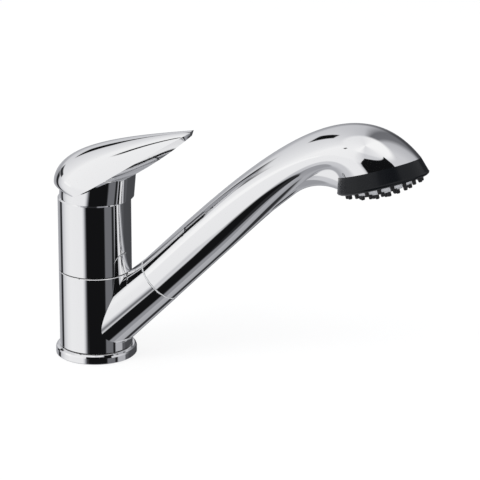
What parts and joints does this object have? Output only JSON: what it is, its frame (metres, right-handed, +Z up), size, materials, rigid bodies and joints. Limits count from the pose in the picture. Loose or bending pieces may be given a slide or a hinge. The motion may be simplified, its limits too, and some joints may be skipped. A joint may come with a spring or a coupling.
{
  "type": "shower mixer tap",
  "caption": "Single-lever deck mixer tap with a swivelling sleeve and a pull-out hand shower docked in an inclined socket.",
  "frame": {"origin": "centre of the base on the deck plane, in the mouth of the fixing-stud thread", "axes": "+Z up along the column, +X from the column towards the spray head, +Y to the cold side"},
  "size_m": [0.2346, 0.058, 0.1617],
  "materials": {
    "chrome": "polished plating over brass",
    "black_gloss": "glossy black",
    "pale_plastic": "satin light grey",
    "ring_plastic": "satin white",
    "black_rubber": "matt black",
    "white_plastic": "matt white",
    "ceramic": "lapped ceramic",
    "brass": "machined",
    "steel": "bright",
    "grey_plastic": "matt grey",
    "index": "metallised plastic"
  },
  "bodies": {
    "tap_body": {"base_flange": "chrome", "base_seal": "black_rubber", "base_screws": "steel", "mixer_body": "chrome", "swivel_o_ring": "black_rubber", "lower_bearing_ring": "white_plastic", "upper_bearing_ring": "white_plastic", "cartridge_base": "white_plastic", "port_seals": "black_rubber", "lower_disc": "ceramic", "cartridge_housing": "white_plastic", "cartridge_nut": "brass", "dome_cap": "chrome"},
    "spout": {"spout_sleeve": "chrome", "socket_bush": "ring_plastic"},
    "hose_end": {"hose_nipple": "brass", "nipple_o_ring": "black_rubber"},
    "handset": {"docking_spigot": "white_plastic", "docking_o_ring": "black_rubber", "non_return_valve": "white_plastic", "water_tube": "grey_plastic", "handset_shell": "chrome", "spray_chamber": "white_plastic", "head_seal": "black_rubber", "spray_ring": "black_gloss", "spray_face": "pale_plastic", "nozzle_mat": "black_rubber"},
    "turret": {"spindle_turret": "white_plastic", "pivot_pin": "steel"},
    "moving_disc": {"upper_disc": "ceramic", "disc_carrier": "white_plastic"},
    "lever": {"lever": "chrome", "lever_stem": "brass", "lever_screw": "steel", "index_plug": "index"}
  },
  "joints": [
    {"name": "spout_swivel", "type": "hinge", "parent": "tap_body", "child": "spout", "pos_m": [0, 0, 0.03], "axis": [0, 0, 1], "range_deg": [-60, 60]},
    {"name": "handset_pull", "type": "slide", "parent": "spout", "child": "hose_end", "axis": [0.7133, 0, 0.7009], "range_m": [0, 0.15]},
    {"name": "handset_turn", "type": "hinge", "parent": "hose_end", "child": "handset", "pos_m": [0.04244, 0, 0.052], "axis": [0.7133, 0, 0.7009], "continuous": true},
    {"name": "temperature_turn", "type": "hinge", "parent": "tap_body", "child": "turret", "pos_m": [0, 0, 0.1], "axis": [0, 0, 1], "range_deg": [-45, 45]},
    {"name": "lever_lift", "type": "hinge", "parent": "turret", "child": "lever", "pos_m": [0, 0, 0.1], "axis": [0, -1, 0], "range_deg": [0, 20]},
    {"name": "disc_slide", "type": "slide", "parent": "turret", "child": "moving_disc", "axis": [1, 0, 0], "range_m": [0, 0.0044]}
  ],
  "couplings": [
    {"joint": "disc_slide", "follows": "lever_lift", "m_per_rad": 0.0125}
  ]
}
